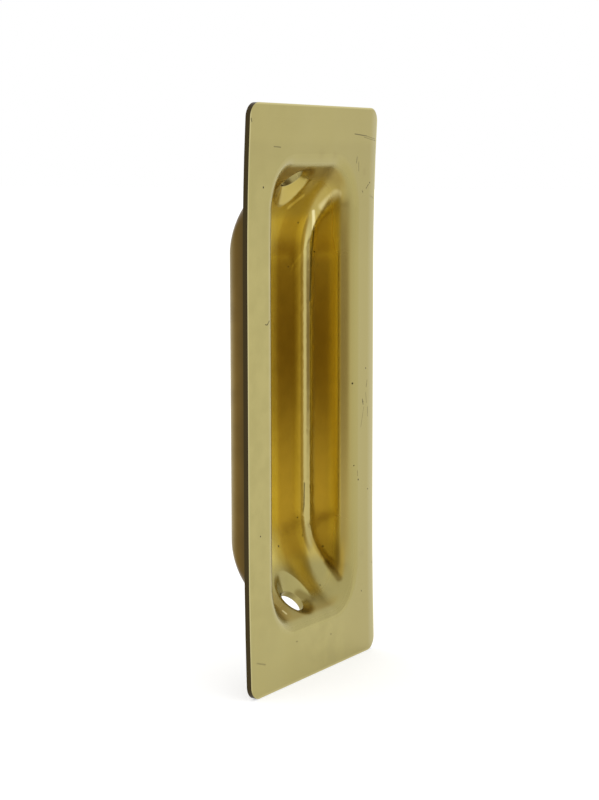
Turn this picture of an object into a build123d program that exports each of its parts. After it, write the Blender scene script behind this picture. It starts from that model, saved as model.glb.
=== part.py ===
from build123d import *
from math import cos, degrees, radians, sin, sqrt, tan
import os

# Flush pull: one piece of thin brass sheet, blanked, deep drawn and pierced.
# X is the width of the plate and Z its length. The plate's front looks along -Y and the recess runs
# back along +Y into the door. The origin is the middle of the flange's back face, which lies on the door.
# Depths are measured back from the flat front face of the flange.

# Plate, millimetres
plate_length = 98.425
plate_width = 41.275
plate_corner = 2.4
sheet = 0.9

# The flange is flat between these heights, and its two ends spring forward a little beyond them,
# as the ends of a drawn plate do. The lifts are at the plate's end edges.
flat_half_length = 22.0
upper_lift = 0.82
lower_lift = 0.44

# Recess: upright side walls with a shallow shoulder at their foot, and end walls that lean out and
# run into the floor in a wide arc. It was drawn a little to one side of the plate's middle.
recess_shift = 0.45
recess_depth = 9.75
mouth_half_width = 11.9
mouth_half_length = 39.4
end_slope = 38.5
end_round = 17.0
shoulder_slope = 22.0
shoulder_width = 2.6
shoulder_round = 1.5
floor_round = 8.0
rim_round = 3.0
mouth_corner = 5.4
corner_loss = 1.0
floor_corner = 1.4

# Screw holes in the end walls, each in a dished seat that squares it to the screw. The metal is
# gathered to the seat's wall round the hole.
screw_hole = 4.5
hole_height = 37.0
hole_depth = 4.75
seat_angle = 104.0
seat_rise = 3.2
seat_round = 2.2
seat_wall = 1.15

# How far the recess's straight walls run, and the sections that its foot is drawn through, as shares of
# its depth. The walls start in front of the flange, so that they cut through it.
wall_shares = (-0.3, 0.34)
foot_shares = (0.34, 0.37, 0.42, 0.48, 0.54, 0.61, 0.68, 0.74, 0.78)
foot_shares += (0.81, 0.84, 0.87, 0.9, 0.93, 0.96, 0.98, 0.99, 0.996, 1)


def half_width(depth, grow):
    """Half width of the recess at a depth, on a surface moved back by grow: wall, arc, shoulder, arc."""
    slope = radians(shoulder_slope)
    knee_depth = recess_depth - shoulder_width * tan(slope)
    upper_x = mouth_half_width - shoulder_round
    upper_depth = knee_depth - shoulder_round * tan(radians(90 - shoulder_slope) / 2)
    lower_x = mouth_half_width - shoulder_width - floor_round * tan(slope / 2)
    lower_depth = recess_depth - floor_round
    if depth <= upper_depth:
        return mouth_half_width + grow
    if depth <= upper_depth + (shoulder_round + grow) * cos(slope):
        return upper_x + sqrt((shoulder_round + grow) ** 2 - (depth - upper_depth) ** 2)
    if depth <= lower_depth + (floor_round + grow) * cos(slope):
        return mouth_half_width - (depth - knee_depth) / tan(slope) + grow / sin(slope)
    return lower_x + sqrt(max(0, (floor_round + grow) ** 2 - (depth - lower_depth) ** 2))


def half_length(depth, grow):
    """Half length of the recess at a depth, on a surface moved back by grow: end wall, then arc."""
    slope = radians(end_slope)
    tangent = end_round * tan(radians(90 - end_slope) / 2)
    arc_z = mouth_half_length - recess_depth * tan(slope) - tangent
    arc_depth = recess_depth - end_round
    if depth <= arc_depth + (end_round + grow) * sin(slope):
        return mouth_half_length - depth * tan(slope) + grow / cos(slope)
    return arc_z + sqrt(max(0, (end_round + grow) ** 2 - (depth - arc_depth) ** 2))


def corner(share, grow):
    """Plan corner radius of the recess at a share of its depth: it tightens a little over the foot."""
    ease = max(0, (share - foot_shares[0]) / (1 - foot_shares[0]))
    inset = half_width(0, grow) - half_width(share * (recess_depth + grow), grow)
    return max(floor_corner, mouth_corner - corner_loss * ease - 0.5 * inset) + grow


def hole_plane(side, rise=0.0):
    """Plane of a screw hole's front edge, looking out of the hole: side 1 is the upper hole."""
    out = Vector(0, -sin(radians(end_slope)), -side * cos(radians(end_slope)))
    middle = Vector(recess_shift, hole_depth - sheet, side * hole_height)
    return Plane(origin=middle + out * rise, x_dir=(1, 0, 0), z_dir=out)


def recess_section(share, grow):
    """Plane, width, length and corner radius of the recess at a share of its depth."""
    depth = share * (recess_depth + grow)
    level = Plane(origin=(recess_shift, depth - sheet, 0), x_dir=(1, 0, 0), z_dir=(0, 1, 0))
    return level, 2 * half_width(depth, grow), 2 * half_length(depth, grow), corner(share, grow)


def tool_form(grow):
    """Everything in front of the sheet's front surface, or of that surface moved back by grow."""
    face_y = grow - sheet
    reach = plate_length / 2 - flat_half_length
    upper_radius = reach**2 / (2 * upper_lift) + face_y
    lower_radius = reach**2 / (2 * lower_lift) + face_y
    half_angle = radians(seat_angle / 2)
    foot_radius = screw_hole / 2 + grow * (1 / cos(half_angle) - tan(half_angle))
    foot_drop = seat_wall * grow / sheet
    seat_height = seat_rise + foot_drop
    with BuildPart() as tool:
        # The recess's walls: each end's half of the outline, carried back along the lean of its end wall
        level, width, length, radius = recess_section(wall_shares[0], grow)
        wall_depth = (wall_shares[1] - wall_shares[0]) * (recess_depth + grow)
        lean = radians(end_slope)
        for side, half in ((1, Align.MAX), (-1, Align.MIN)):
            with BuildSketch(level):
                RectangleRounded(width, length, radius)
                Rectangle(2 * width, length, align=(Align.CENTER, half), mode=Mode.INTERSECT)
            extrude(amount=wall_depth / cos(lean), dir=(0, cos(lean), -side * sin(lean)))
        # Its foot, where the walls turn into the shoulder and the floor
        for share in foot_shares:
            level, width, length, radius = recess_section(share, grow)
            with BuildSketch(level):
                RectangleRounded(width, length, radius)
        loft()
        # Side view of the flange's face, a straight middle with a large arc at each end
        with BuildSketch(Plane.YZ):
            with BuildLine():
                face = Line((face_y, -flat_half_length), (face_y, flat_half_length))
                top = JernArc(face @ 1, (0, 1), upper_radius, degrees(reach * 1.1 / upper_radius))
                foot = JernArc(face @ 0, (0, -1), lower_radius, -degrees(reach * 1.1 / lower_radius))
                Polyline(top @ 1, (-8, (top @ 1).Y), (-8, (foot @ 1).Y), foot @ 1)
            make_face()
        extrude(amount=plate_width / 2 + 4, both=True)
        # The mouth of the recess, where its walls meet the flange
        mouth = [
            edge
            for edge in tool.edges()
            if face_y - 1 < edge.center().Y < face_y + 0.3
            and abs(edge.center().X) < mouth_half_width + 3
            and abs(edge.center().Z) < mouth_half_length + 3
            and not (abs(edge.center().X) < 0.1 and abs(abs(edge.center().Z) - flat_half_length) < 0.1)
        ]
        fillet(mouth, rim_round - grow)
        # Dished screw seats, pressed into the end walls and through the rim
        for side in (1, -1):
            hole = hole_plane(side, rise=-foot_drop)
            with BuildSketch(Plane(origin=hole.origin, x_dir=hole.x_dir, z_dir=-hole.y_dir)):
                with BuildLine():
                    Polyline(
                        (0, seat_height),
                        (0, 0),
                        (foot_radius, 0),
                        (foot_radius + seat_height * tan(half_angle), seat_height),
                        close=True,
                    )
                make_face()
            revolve(axis=Axis(hole.origin, hole.z_dir))
        for index in (0, -1):
            seat = tool.faces().filter_by(GeomType.CONE).sort_by(Axis.Z)[index]
            folds = [edge for edge in seat.edges() if edge.geom_type not in (GeomType.LINE, GeomType.CIRCLE)]
            fillet(folds, seat_round - grow)
    return tool.part


# The drawn plate: the blank's outline, between the two forms, with the screw holes pierced
with BuildPart() as pull_plate:
    with BuildSketch(Plane.XZ.offset(-14)):
        RectangleRounded(plate_width, plate_length, plate_corner)
    extrude(amount=20)
    add(tool_form(sheet), mode=Mode.INTERSECT)
    add(tool_form(0), mode=Mode.SUBTRACT)
    for side in (1, -1):
        with BuildSketch(hole_plane(side, rise=0.2)):
            Circle(screw_hole / 2)
        extrude(amount=-2.5, mode=Mode.SUBTRACT)

pull_plate.part.label = "pull_plate"
os.makedirs("parts", exist_ok=True)
export_step(pull_plate.part, "parts/pull_plate.step")
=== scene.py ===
import math

import bpy
import numpy as np
from mathutils import Matrix

# A flush pull pressed from one piece of thin brass, seen from its front left and a little above.
# Metres, in the part's own frame: X across the plate, Z up its length, the front looks along -Y.
# The finish is laid out in millimetres. Depth is measured back from the flat face of the flange.
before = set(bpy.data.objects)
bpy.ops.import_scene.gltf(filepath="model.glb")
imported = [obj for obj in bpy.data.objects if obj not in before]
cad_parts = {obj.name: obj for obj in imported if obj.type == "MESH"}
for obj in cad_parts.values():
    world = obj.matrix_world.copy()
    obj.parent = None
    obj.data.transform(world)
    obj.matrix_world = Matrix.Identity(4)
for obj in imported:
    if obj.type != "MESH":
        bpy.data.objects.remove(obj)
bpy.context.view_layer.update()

MM = 0.001

# The plate and its recess, in millimetres, as the part is drawn
HALF_WIDTH = 20.6375
HALF_LENGTH = 49.2125
FACE_Y = -0.9
RECESS_MIDDLE = 0.45
HOLE_RADIUS = 2.25
HOLE_Y = 3.85
HOLE_Z = 37.0
HOLE_SLOPE = math.radians(38.5)

# The picture is 599 by 800; its focal length in pixels and the camera's place were fitted to the plate
IMAGE_HEIGHT = 800
SENSOR_SIZE = 36.0
FOCAL_PIXELS = 1826.163
CAMERA_PLACE = np.array([-266.735, -162.89, 38.92]) * MM
CAMERA_YAW = 1.017084
CAMERA_PITCH = 0.127037
CAMERA_ROLL = 0.001524
CAMERA_NEAREST = 0.01

# Brass as linear colours. The flange, its paler right edge and a painted highlight: the bright line round
# its outline
FLANGE_BRASS = (0.390, 0.337, 0.126, 1)
PALE_EDGE = (0.50, 0.46, 0.27, 1)
RIM_PAINTED_HIGHLIGHT = (0.56, 0.50, 0.24, 1)

# The recess, whose deeper gold is partly painted reflection of the light bouncing inside it: its upper
# half, its lower half painted lighter, a painted lighter reflection on the floor along its left wall, and
# at the foot of its right wall a painted golden shoulder, a painted dark fold of shade and a painted
# highlight on the pale ridge
RECESS_GOLD_AND_REFLECTION = (0.57, 0.435, 0.098, 1)
LOWER_PAINTED_LIGHT = (0.595, 0.46, 0.118, 1)
LEFT_PAINTED_REFLECTION = (0.70, 0.59, 0.17, 1)
SHOULDER_PAINTED_REFLECTION = (0.68, 0.55, 0.135, 1)
FOLD_PAINTED_SHADE = (0.37, 0.28, 0.078, 1)
RIDGE_PAINTED_HIGHLIGHT = (0.49, 0.41, 0.155, 1)

# Above the right wall, a painted golden reflection on its lip and painted brown shade on the bend into the
# flange; then the ends of the recess: the upper end's brass, painted shade at the lower end of the right
# wall, a painted golden reflection on the lower end wall and painted shade round the screw holes
LIP_PAINTED_REFLECTION = (0.70, 0.55, 0.11, 1)
BEND_PAINTED_SHADE = (0.36, 0.275, 0.078, 1)
WALL_END_PAINTED_SHADE = (0.42, 0.30, 0.06, 1)
UPPER_END_BRASS = (0.46, 0.36, 0.10, 1)
END_PAINTED_REFLECTION = (0.78, 0.66, 0.18, 1)
HOLE_PAINTED_SHADE = (0.37, 0.28, 0.078, 1)

# Marks on the front: scratches, stains, painted shade at dark turns of the metal and pale painted
# highlights
SCRATCH_DARK = (0.04, 0.03, 0.012, 1)
STAIN_BROWN = (0.25, 0.19, 0.07, 1)
TURN_PAINTED_SHADE = (0.17, 0.115, 0.022, 1)
PAINTED_HIGHLIGHT_PALE = (0.80, 0.72, 0.38, 1)

# The back, with a painted sheen on the cup's foot, painted shade and tarnish, and the cut edges of the
# sheet
BACK_FOOT_SHEEN = (0.36, 0.285, 0.12, 1)
BACK_BROWN = (0.17, 0.105, 0.026, 1)
SHADE_AND_TARNISH = (0.055, 0.036, 0.014, 1)
SHEARED_BRASS = (0.052, 0.038, 0.016, 1)
PIERCED_BRASS = (0.36, 0.30, 0.11, 1)

# Each layer of paint below is a colour, a strength and a zone. A zone is a set of bands, and lies where all
# of them do. A band names a measure and fades in from its first value, in millimetres, to its second.
RECESS_LAYERS = (
    (LOWER_PAINTED_LIGHT, 1.0, (("z", 2.0, -24.0),)),
    (LEFT_PAINTED_REFLECTION, 0.8, (("depth", 6.0, 8.0), ("x", 4.4, 3.0))),
    (SHOULDER_PAINTED_REFLECTION, 0.9, (("depth", 7.0, 8.0), ("x", 8.8, 9.8))),
    (FOLD_PAINTED_SHADE, 0.9, (("depth", 7.0, 8.0), ("x", 10.5, 11.0))),
    (RIDGE_PAINTED_HIGHLIGHT, 0.9, (("depth", 7.0, 8.0), ("x", 11.15, 11.65))),
)

# Everything behind the flange's face. Then where the recess's own deeper gold, partly painted reflection,
# shows: all of it but its two ends, and somewhat further up and down along its right wall
INSIDE = (("depth", 0.3, 2.4),)
RECESS_ZONES = (
    (("depth", 0.3, 2.4), ("height", 33.0, 29.0)),
    (("x", 11.75, 12.1), ("depth", 1.3, 2.1), ("height", 34.9, 33.4)),
)
# Painted over the front: the upper end's brass, painted brown shade on the bend, a painted golden
# reflection on the lip and painted shade at the lower end of the right wall
FRONT_LAYERS = (
    (UPPER_END_BRASS, 1.0, (("depth", 0.3, 2.4), ("z", 29.0, 33.0))),
    (BEND_PAINTED_SHADE, 1.0, (("depth", 0.1, 1.5), ("depth", 2.5, 1.7), ("x", 8.0, 12.0), ("height", 37.0, 27.0))),
    (LIP_PAINTED_REFLECTION, 0.8, (("depth", 1.9, 2.4), ("depth", 4.8, 3.6), ("x", 8.0, 12.0), ("height", 37.0, 27.0))),
    (
        WALL_END_PAINTED_SHADE,
        1.0,
        (("x", 11.7, 12.05), ("depth", 1.0, 1.8), ("z", -35.4, -34.2), ("z", -26.0, -31.0)),
    ),
)

# Painted shade round the screw holes, in browner places: below the lower one, above the upper one, left of
# the lower one
HOLE_ZONES = (
    (("depth", 0.4, 1.4), ("z", -37.0, -39.0)),
    (("depth", 0.3, 1.2), ("depth", 3.6, 2.0), ("z", 34.0, 37.0)),
    (("depth", 0.4, 1.6), ("z", -31.5, -35.0), ("x", -2.6, -5.5)),
)

# The flange's right edge, and a painted golden reflection that climbs the lower end wall
EDGE_LAYERS = ((PALE_EDGE, 0.6, (("x", 18.2, 20.4),)),)
GOLD_LAYERS = (
    (END_PAINTED_REFLECTION, 0.7, (("x", 3.6, 6.2), ("x", 9.6, 7.0), ("z", -37.6, -35.0), ("z", -29.5, -32.0))),
)

# What the front's colour is multiplied by: two ends of a faint mottle, then painted shade and light: darker
# on the flange's right side and its top, lighter on its lower left and in the recess where the floor starts
# to rise to the upper end
MOTTLE_DARK = (0.95, 0.95, 0.94, 1)
MOTTLE_LIGHT = (1.04, 1.04, 1.05, 1)
MOTTLE_SPREAD = (0.25, 0.75)
PAINTED_SHADE_LAYERS = (
    ((0.93, 0.92, 0.92, 1), 1.0, (("x", 4.0, 17.0),)),
    ((0.92, 0.91, 0.93, 1), 0.6, (("z", 36.0, 42.0),)),
    ((1.10, 1.11, 1.17, 1), 1.0, (("z", -34.0, -46.0), ("x", 4.0, -14.0))),
    (
        (1.16, 1.18, 1.2, 1),
        1.0,
        (("height", 21.5, 24.5), ("height", 29.0, 25.5), ("depth", 3.0, 5.0), ("z", -20.0, 20.0)),
    ),
)

# The painted highlight of a bright line round the front's outline, the blank's outer part, and the radius
# within which a screw hole's edge lies
SIDE_RIM = (HALF_WIDTH - 0.45, HALF_WIDTH - 0.1)
END_RIM = (("height", HALF_LENGTH - 0.4, HALF_LENGTH - 0.1),)
RIM_HIGHLIGHT_STRENGTH = 0.8
BLANK_ZONES = ((("across", 15.0, 15.4),), (("height", 42.6, 43.0),))
PIERCED_RADIUS = (HOLE_RADIUS + 0.12, HOLE_RADIUS + 0.04)

# The back: brown all over but the cup's foot, which keeps a paler painted sheen, then painted shade
# darkening the cup's walls towards the flange, and tarnish in clouds
BACK_LAYERS = ((BACK_BROWN, 1.0, (("y", 9.1, 6.6),)),)
WALL_ZONE = (("y", 8.0, 4.0),)
WALL_PAINTED_SHADE = 0.85
CLOUD_SPREAD = (0.3, 0.7)
CLOUD_TARNISH = 0.25

# How squarely the sheet faces front or back, where it counts as a cut edge or as a wall; how much a point
# off the recess's middle counts towards its walls' facing, and how sharp the change of side is
EDGE_FLATNESS = (0.75, 0.6)
WALL_FLATNESS = (0.95, 0.6)
TOWARDS_MIDDLE = (-1 / 12, 0, -1 / 40)
WALL_SHARE = 0.3
SIDE_CHANGE = (-0.02, 0.02)

# Noises: scale per millimetre and detail; a spread is from where to where a noise fades in. Bumps:
# strength, and height in metres
MOTTLE = (0.35, 4.0)
BREAKS = (6.0, 3.0)
BREAK_SPREAD = (0.25, 0.48)
STAIN_CLOUDS = (1.5, 3.0)
BACK_CLOUDS = (0.18, 5.0)
GRAIN = (9.0, 2.0)
GRAIN_BUMP = (0.02, 0.0001)
WAVES = (0.11, 1.0)
WAVE_STRETCH = (1, 1, 0.3)
WAVE_BUMP = (1.0, 0.00012)

# Roughness: of the shiny floor and walls, and what each duller place has or adds
SHINY = 0.09
MOTTLED = 0.06
BUFFED_ENDS = 0.10
BUFFED_MOUTH = 0.12
DULL_BACK = 0.22
DULL_MARKS = 0.3
ENDS_ZONE = (("height", 21.0, 28.0), ("height", 44.0, 42.0))
MOUTH_ZONE = (("depth", 4.2, 2.6), ("depth", 0.0, 0.4))

# Floor: how far it reaches, how far the plate stands above it, its paint, and the glow that makes it white
# to the camera. Then the soft shade of the room on the camera's side: its paint and its glow, where it
# fades in and out in metres, and over which turns
FLOOR_HALF = 6.0
FLOOR_GAP = 0.05
FLOOR_PAINT = (0.7, 0.7, 0.69, 1)
FLOOR_ROUGHNESS = 0.9
FLOOR_GLOW = 0.48
WHITE = (1, 1, 1, 1)
SHADE_PAINT = (0.32, 0.255, 0.18, 1)
SHADE_GLOW = (0.12, 0.10, 0.08, 1)
SHADE_NEAR = (0.11, 0.42)
SHADE_FAR = (0.9, 5.0)
SHADE_TURN = (math.radians(8), math.radians(42), math.radians(82), math.radians(112))

# Scratches in the flange's face, read off the photograph: the two ends (X, Z), the width in millimetres
# and how dark each is
SCRATCHES = (
    ((12.9, 44.6), (17.1, 44.3), 0.13, 0.55),
    ((17.1, 44.3), (20.1, 43.8), 0.10, 0.35),
    ((16.2, 44.1), (20.3, 43.5), 0.10, 0.35),
    ((-13.2, 42.2), (-11.2, 42.1), 0.14, 0.45),
    ((-20.3, 46.6), (-20.1, 46.1), 0.16, 0.7),
    ((14.1, 40.6), (13.9, 39.6), 0.13, 0.6),
    ((14.7, 39.7), (14.8, 38.2), 0.12, 0.5),
    ((18.4, 35.8), (17.6, 35.1), 0.13, 0.6),
    ((16.2, 34.7), (16.5, 34.4), 0.14, 0.5),
    ((19.1, 33.8), (20.3, 33.3), 0.10, 0.35),
    ((-14.1, 13.7), (-14.8, 13.1), 0.13, 0.8),
    ((-14.8, 13.1), (-15.35, 13.2), 0.11, 0.7),
    ((18.5, 0.7), (18.2, -0.5), 0.10, 0.6),
    ((16.8, -2.6), (17.1, -3.6), 0.13, 0.8),
    ((18.7, -4.2), (18.7, -5.9), 0.09, 0.6),
    ((17.3, -4.1), (16.3, -7.6), 0.09, 0.5),
    ((18.0, -1.5), (18.3, -3.4), 0.09, 0.5),
    ((15.1, -15.4), (15.2, -16.4), 0.10, 0.5),
    ((-18.7, -43.1), (-16.2, -43.9), 0.2, 0.28),
)
SCRATCH_STRENGTH = 1.25

# Small dark specks on the face and in the recess: place and radius, in millimetres
SPECKS = (
    ((18.8, -1.1, 36.1), 0.20),
    ((-16.1, -1.1, 35.6), 0.26),
    ((13.9, -0.5, 0.5), 0.26),
    ((18.0, -0.9, 2.9), 0.20),
    ((17.0, -0.9, -3.1), 0.24),
    ((14.2, -0.7, -14.4), 0.18),
    ((15.4, -0.9, -17.1), 0.24),
    ((18.8, -0.9, -19.3), 0.18),
    ((20.3, -0.9, -33.2), 0.18),
    ((-17.1, -0.9, -21.9), 0.20),
    ((5.35, -1.2, -43.4), 0.18),
    ((-6.05, -1.15, -42.2), 0.18),
    ((16.4, -1.05, -37.8), 0.18),
    ((8.9, 3.2, -35.75), 0.18),
    ((12.35, 6.5, 23.9), 0.24),
    ((12.35, 4.7, -29.4), 0.22),
    ((9.0, 7.8, 29.1), 0.24),
    ((2.85, 8.2, -28.1), 0.26),
    ((9.9, 8.6, -24.1), 0.2),
    ((7.3, 8.85, 21.4), 0.2),
)
SPECK_STRENGTH = 0.95

# Dark folds pinched into the metal along the ridge at the foot of the right wall: points, width, darkness
CREASES = (
    (((12.35, 6.5, 28.2), (12.31, 7.08, 23.6), (12.24, 7.34, 15.2)), 0.24, 0.7),
    (((11.54, 8.11, -18.0), (11.45, 8.16, -22.0), (10.6, 7.9, -27.6)), 0.2, 0.65),
)

# Painted highlights: below the upper screw seat, at the top of the ridge, in the lower left corner and at
# the upper end of the right
# wall: points, width, brightness
PAINTED_HIGHLIGHTS = (
    (((3.95, 6.54, 31.98), (5.1, 6.0, 32.85), (6.54, 5.27, 33.85)), 0.7, 0.8),
    (((11.2, 5.98, 31.14), (11.71, 6.25, 30.07), (12.06, 6.46, 28.99), (12.27, 6.65, 27.92)), 0.4, 0.9),
    (((-5.86, 1.81, -37.25), (-5.71, 1.29, -37.66)), 0.35, 0.8),
    (((11.98, 4.4, 32.0), (11.85, 1.6, 34.2)), 1.2, 0.5),
)

# Painted shade at dark turns of the metal: where the right wall's fold runs out into the rim at its lower
# end, and beside the lower screw hole
PAINTED_DARK_TURNS = (
    (((12.05, 3.6, -32.2), (11.81, 1.0, -34.8)), 0.9, 0.75),
    (((3.1, 4.09, -36.34), (3.7, 2.2, -37.1)), 1.3, 0.6),
)

# Broad brown stains on the flange: place and radius
STAINS = (
    ((2.0, -1.2, 41.0), 1.6),
    ((6.4, -1.2, 40.8), 1.3),
    ((16.7, -0.95, -31.0), 1.3),
    ((16.8, -1.1, 38.0), 1.2),
)
STAIN_STRENGTH = 0.35

# The share of its width or radius within which a stroke, a speck or a stain is full
STROKE_CORE = 0.3
SPECK_CORE = 0.4
STAIN_CORE = 0.0


class Nodes:
    """A short way of writing a node tree: each call adds one node, sets its values and wires its inputs."""

    def __init__(self, tree):
        self.tree = tree

    def put(self, socket, value):
        if isinstance(value, bpy.types.NodeSocket):
            self.tree.links.new(value, socket)
        else:
            socket.default_value = value

    def add(self, kind, settings=None, inputs=()):
        node = self.tree.nodes.new(kind)
        for name, value in (settings or {}).items():
            setattr(node, name, value)
        for key, value in dict(inputs).items():
            self.put(node.inputs[key], value)
        return node

    def math(self, operation, a, b=0.0, clamp=False):
        settings = {"operation": operation, "use_clamp": clamp}
        return self.add("ShaderNodeMath", settings, {0: a, 1: b}).outputs[0]

    def vector(self, operation, a, b=(0, 0, 0)):
        node = self.add("ShaderNodeVectorMath", {"operation": operation}, {0: a, 1: b})
        return node.outputs["Value" if operation in ("DOT_PRODUCT", "LENGTH", "DISTANCE") else "Vector"]

    def scaled(self, vector, factor):
        inputs = {0: vector, "Scale": factor}
        return self.add("ShaderNodeVectorMath", {"operation": "SCALE"}, inputs).outputs[0]

    def ramp(self, value, low, high):
        """0 at low and 1 at high, smooth between; low may be the larger of the two."""
        inputs = {"Value": value, "From Min": low, "From Max": high}
        return self.add("ShaderNodeMapRange", {"interpolation_type": "SMOOTHSTEP"}, inputs).outputs[0]

    def product(self, *factors):
        result = factors[0]
        for factor in factors[1:]:
            result = self.math("MULTIPLY", result, factor)
        return result

    def largest(self, *values):
        result = values[0]
        for value in values[1:]:
            result = self.math("MAXIMUM", result, value)
        return result

    def invert(self, value):
        return self.math("SUBTRACT", 1.0, value)

    def mix(self, factor, a, b, blend="MIX"):
        inputs = {0: factor, 6: a, 7: b}
        return self.add("ShaderNodeMix", {"data_type": "RGBA", "blend_type": blend}, inputs).outputs[2]

    def noise(self, where, scale, detail):
        inputs = {"Vector": where, "Scale": scale, "Detail": detail}
        return self.add("ShaderNodeTexNoise", None, inputs).outputs[0]

    def bump(self, height, strength, distance):
        inputs = {"Height": height, "Strength": strength, "Distance": distance}
        return self.add("ShaderNodeBump", None, inputs)

    def stroke(self, where, start, end, width):
        """1 on a straight stroke in space: the distance from it is measured to its nearest point."""
        along = np.array(end) - np.array(start)
        step = along / float(along @ along)
        ahead = self.vector("DOT_PRODUCT", where, tuple(step))
        share = self.math("SUBTRACT", ahead, float(step @ np.array(start)), clamp=True)
        gap = self.vector("DISTANCE", where, self.vector("ADD", self.scaled(tuple(along), share), start))
        return self.ramp(gap, width, width * STROKE_CORE)

    def strokes(self, where, paths):
        """Several paths of straight strokes, each with its width and its strength."""
        found = 0.0
        for points, width, strength in paths:
            for start, end in zip(points, points[1:]):
                stroke = self.stroke(where, start, end, width)
                found = self.largest(found, self.product(stroke, strength))
        return found

    def dots(self, where, places, core):
        """Round dots, each with its place and radius, that are full within the core share of the radius."""
        found = 0.0
        for place, radius in places:
            gap = self.vector("DISTANCE", where, place)
            found = self.largest(found, self.ramp(gap, radius, radius * core))
        return found


class Spot:
    """Where a point of the brass lies, in millimetres, and which way it faces."""

    def __init__(self, n):
        self.n = n
        seen = n.add("ShaderNodeTexCoord")
        self.place = n.scaled(seen.outputs["Object"], 1 / MM)
        x, y, z = n.add("ShaderNodeSeparateXYZ", None, {0: self.place}).outputs
        self.measures = {
            "x": x,
            "y": y,
            "z": z,
            "depth": n.math("SUBTRACT", y, FACE_Y),
            "across": n.math("ABSOLUTE", n.math("SUBTRACT", x, RECESS_MIDDLE)),
            "height": n.math("ABSOLUTE", z),
        }
        self.normal = seen.outputs["Normal"]
        self.normal_y = n.add("ShaderNodeSeparateXYZ", None, {0: self.normal}).outputs[1]
        self.flatness = n.math("ABSOLUTE", self.normal_y)

    def zone(self, bands):
        """1 where all the zone's bands are, fading out at their ends."""
        ramps = [self.n.ramp(self.measures[measure], low, high) for measure, low, high in bands]
        return self.n.product(*ramps)

    def any_zone(self, zones):
        return self.n.largest(*[self.zone(bands) for bands in zones])

    def painted(self, colour, layers):
        """The colour with each layer painted over it in its zone."""
        for paint, strength, bands in layers:
            colour = self.n.mix(self.n.product(self.zone(bands), strength), colour, paint)
        return colour


def front_side(n, at):
    """Front or back of the sheet: the recess's inner walls face its middle, its outer walls face away."""
    from_middle = n.vector("SUBTRACT", at.place, (RECESS_MIDDLE, 0, 0))
    inward = n.vector("DOT_PRODUCT", n.vector("MULTIPLY", from_middle, TOWARDS_MIDDLE), at.normal)
    forward = n.math("SUBTRACT", n.math("MULTIPLY", inward, WALL_SHARE), at.normal_y)
    return n.ramp(forward, *SIDE_CHANGE)


def sheared_edge(n, at):
    """The sheared edge round the blank."""
    return n.product(at.any_zone(BLANK_ZONES), n.ramp(at.flatness, *EDGE_FLATNESS))


def pierced_edge(n, at):
    """The pierced edge of each screw hole, found by its distance from the hole's slanting axis."""
    axis = (0, -math.sin(HOLE_SLOPE), -math.cos(HOLE_SLOPE))
    back = n.math("SUBTRACT", at.measures["y"], HOLE_Y)
    up = n.math("SUBTRACT", at.measures["height"], HOLE_Z)
    from_hole = n.add("ShaderNodeCombineXYZ", None, {0: at.measures["across"], 1: back, 2: up}).outputs[0]
    away = n.vector("LENGTH", n.vector("CROSS_PRODUCT", from_hole, axis))
    return n.ramp(away, *PIERCED_RADIUS)


def front_colour(n, at, mottle):
    """Colour of the front, from the recess outwards, then its painted broad shade and light and the painted
    highlight round its outline.
    """
    recess = at.painted(RECESS_GOLD_AND_REFLECTION, RECESS_LAYERS)
    face = n.mix(at.any_zone(RECESS_ZONES), FLANGE_BRASS, recess)
    face = at.painted(face, FRONT_LAYERS)
    face = n.mix(at.any_zone(HOLE_ZONES), face, HOLE_PAINTED_SHADE)
    face = at.painted(face, EDGE_LAYERS)
    shade = n.mix(n.ramp(mottle, *MOTTLE_SPREAD), MOTTLE_DARK, MOTTLE_LIGHT)
    face = n.mix(1.0, face, at.painted(shade, PAINTED_SHADE_LAYERS), "MULTIPLY")
    side_rim_highlight = n.ramp(n.math("ABSOLUTE", at.measures["x"]), *SIDE_RIM)
    return n.mix(n.product(n.largest(side_rim_highlight, at.zone(END_RIM)), RIM_HIGHLIGHT_STRENGTH), face, RIM_PAINTED_HIGHLIGHT)


def dark_marks(n, at):
    """Scratches, which stay on the flange, creases and specks; a noise breaks up the lines."""
    scratches = [(((x0, 0, z0), (x1, 0, z1)), width, SCRATCH_STRENGTH * darkness)
                 for (x0, z0), (x1, z1), width, darkness in SCRATCHES]
    flat = n.vector("MULTIPLY", at.place, (1, 0, 1))
    on_flange = n.product(n.strokes(flat, scratches), n.invert(at.zone(INSIDE)))
    broken = n.ramp(n.noise(at.place, *BREAKS), *BREAK_SPREAD)
    lines = n.product(n.largest(on_flange, n.strokes(at.place, CREASES)), broken)
    return n.largest(lines, n.product(n.dots(at.place, SPECKS, SPECK_CORE), SPECK_STRENGTH))


def marked_front(n, at, face, marks):
    """The front with its painted highlights, a painted golden reflection on the lower end wall, painted
    shade at dark turns, and stains.
    """
    face = n.mix(n.strokes(at.place, PAINTED_HIGHLIGHTS), face, PAINTED_HIGHLIGHT_PALE)
    face = at.painted(face, GOLD_LAYERS)
    face = n.mix(n.strokes(at.place, PAINTED_DARK_TURNS), face, TURN_PAINTED_SHADE)
    face = n.mix(marks, face, SCRATCH_DARK)
    clouds = n.noise(at.place, *STAIN_CLOUDS)
    stains = n.product(n.dots(at.place, STAINS, STAIN_CORE), clouds, STAIN_STRENGTH)
    return n.mix(stains, face, STAIN_BROWN)


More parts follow.
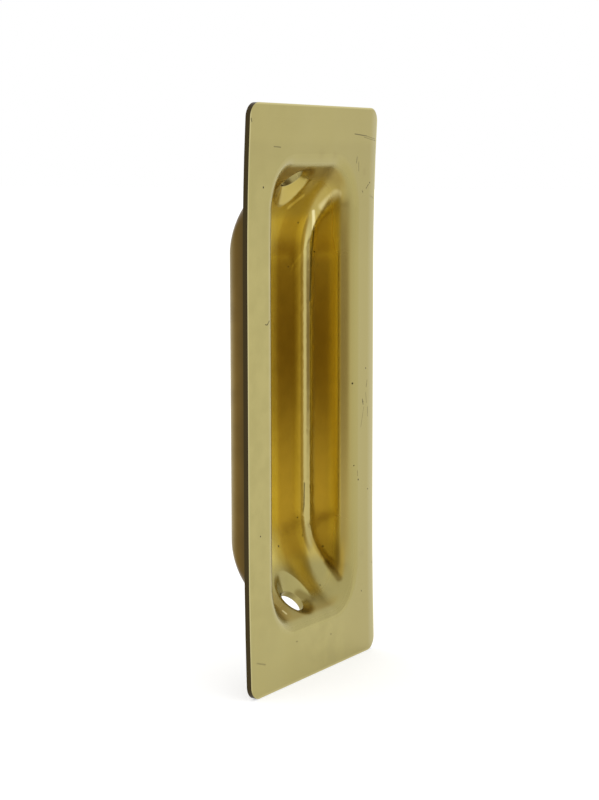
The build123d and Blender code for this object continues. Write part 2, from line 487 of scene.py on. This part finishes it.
def back_colour(n, at):
    """The back: a paler painted sheen on the cup's foot, brown on its walls, painted shade darkening them
    towards the flange, and tarnish in clouds.
    """
    wall_shade = n.product(at.zone(WALL_ZONE), n.ramp(at.flatness, *WALL_FLATNESS), WALL_PAINTED_SHADE)
    clouds = n.ramp(n.noise(at.place, *BACK_CLOUDS), *CLOUD_SPREAD)
    back = n.mix(wall_shade, at.painted(BACK_FOOT_SHEEN, BACK_LAYERS), SHADE_AND_TARNISH)
    return n.mix(n.product(clouds, CLOUD_TARNISH), back, SHADE_AND_TARNISH)


def shine(n, at, mottle, front, marks, sheared):
    """Roughness: floor and walls keep the shine of the punch, the ends and the mouth are buffed duller."""
    ends = n.product(at.zone(ENDS_ZONE), BUFFED_ENDS)
    mouth = n.product(at.zone(MOUTH_ZONE), BUFFED_MOUTH)
    back = n.product(n.invert(front), DULL_BACK)
    worn = n.product(n.largest(marks, sheared), DULL_MARKS)
    mottled = n.math("ADD", n.product(mottle, MOTTLED), SHINY)
    return n.math("ADD", n.largest(n.math("ADD", ends, mouth), back, worn), mottled)


def relief(n, at):
    """Fine grain over the long, faint waves that drawing leaves along the sheet."""
    grain = n.bump(n.noise(at.place, *GRAIN), *GRAIN_BUMP)
    waves = n.bump(n.noise(n.vector("MULTIPLY", at.place, WAVE_STRETCH), *WAVES), *WAVE_BUMP)
    n.put(waves.inputs["Normal"], grain.outputs[0])
    return waves.outputs[0]


def brass_finish():
    """The pull's one metal, with its finish and its painted light and shade told apart by where a point
    lies on the plate.
    """
    material = bpy.data.materials.new("buffed and worn brass")
    material.use_nodes = True
    material.node_tree.nodes.clear()
    n = Nodes(material.node_tree)
    at = Spot(n)
    mottle = n.noise(at.place, *MOTTLE)
    front = front_side(n, at)
    sheared = sheared_edge(n, at)
    marks = dark_marks(n, at)
    face = marked_front(n, at, front_colour(n, at, mottle), marks)
    colour = n.mix(front, back_colour(n, at), face)
    colour = n.mix(sheared, colour, SHEARED_BRASS)
    colour = n.mix(pierced_edge(n, at), colour, PIERCED_BRASS)
    roughness = shine(n, at, mottle, front, marks, sheared)
    looks = {"Base Color": colour, "Roughness": roughness, "Metallic": 1.0, "Normal": relief(n, at)}
    surface = n.add("ShaderNodeBsdfPrincipled", None, looks)
    n.add("ShaderNodeOutputMaterial", None, {"Surface": surface.outputs[0]})
    return material


def studio_light():
    """A plain white room that wraps the pull in even light."""
    world = bpy.data.worlds.new("soft studio")
    bpy.context.scene.world = world
    world.use_nodes = True
    world.node_tree.nodes["Background"].inputs["Color"].default_value = WHITE


def pale_floor():
    """A wide pale floor under the plate's lower edge, with the room's soft shade on the camera's side."""
    level = -(HALF_LENGTH + FLOOR_GAP) * MM
    corners = ((-1, -1), (1, -1), (1, 1), (-1, 1))
    mesh = bpy.data.meshes.new("floor")
    mesh.from_pydata([(x * FLOOR_HALF, y * FLOOR_HALF, level) for x, y in corners], [], [(0, 1, 2, 3)])
    mesh.materials.append(floor_paint())
    floor = bpy.data.objects.new("floor", mesh)
    bpy.context.collection.objects.link(floor)


def floor_paint():
    """Pale paint with a glow that only the camera, reflections and clear views see."""
    material = bpy.data.materials.new("pale floor")
    material.use_nodes = True
    material.node_tree.nodes.clear()
    n = Nodes(material.node_tree)
    where = n.add("ShaderNodeTexCoord").outputs["Object"]
    x, y, _ = n.add("ShaderNodeSeparateXYZ", None, {0: where}).outputs
    turn = n.math("ARCTAN2", n.math("MULTIPLY", x, -1.0), n.math("MULTIPLY", y, -1.0))
    away = n.vector("LENGTH", where)
    within = n.product(n.ramp(away, *SHADE_NEAR), n.ramp(away, *reversed(SHADE_FAR)))
    begin, full, fade, end = SHADE_TURN
    shade = n.product(within, n.ramp(turn, begin, full), n.ramp(turn, end, fade))
    path = n.add("ShaderNodeLightPath").outputs
    direct = n.math("ADD", path["Is Camera Ray"], path["Is Glossy Ray"])
    seen = n.math("ADD", direct, path["Is Transmission Ray"], clamp=True)
    looks = {
        "Base Color": n.mix(shade, FLOOR_PAINT, SHADE_PAINT),
        "Roughness": FLOOR_ROUGHNESS,
        "Specular IOR Level": 0.0,
        "Emission Color": n.mix(shade, WHITE, SHADE_GLOW),
        "Emission Strength": n.product(seen, FLOOR_GLOW),
    }
    surface = n.add("ShaderNodeBsdfPrincipled", None, looks)
    n.add("ShaderNodeOutputMaterial", None, {"Surface": surface.outputs[0]})
    return material


def camera():
    """The photograph's camera: its axes from its yaw, pitch and roll, and a lens that fills that frame."""
    ahead = np.array([math.sin(CAMERA_YAW), math.cos(CAMERA_YAW), 0]) * math.cos(CAMERA_PITCH)
    ahead[2] = -math.sin(CAMERA_PITCH)
    level = np.array([math.cos(CAMERA_YAW), -math.sin(CAMERA_YAW), 0])
    below = np.cross(ahead, level)
    right = math.cos(CAMERA_ROLL) * level + math.sin(CAMERA_ROLL) * below
    down = math.cos(CAMERA_ROLL) * below - math.sin(CAMERA_ROLL) * level
    matrix = Matrix.Identity(4)
    for i in range(3):
        matrix[i][:] = (right[i], -down[i], -ahead[i], CAMERA_PLACE[i])
    data = bpy.data.cameras.new("camera")
    data.sensor_width = SENSOR_SIZE
    data.sensor_fit = "AUTO"
    data.lens = FOCAL_PIXELS * SENSOR_SIZE / IMAGE_HEIGHT
    data.clip_start = CAMERA_NEAREST
    seen_from = bpy.data.objects.new("camera", data)
    bpy.context.collection.objects.link(seen_from)
    seen_from.matrix_world = matrix
    bpy.context.scene.camera = seen_from


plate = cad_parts["pull_plate"]
plate.material_slots[0].material = brass_finish()
studio_light()
pale_floor()
camera()
bpy.context.scene.view_settings.view_transform = "Standard"
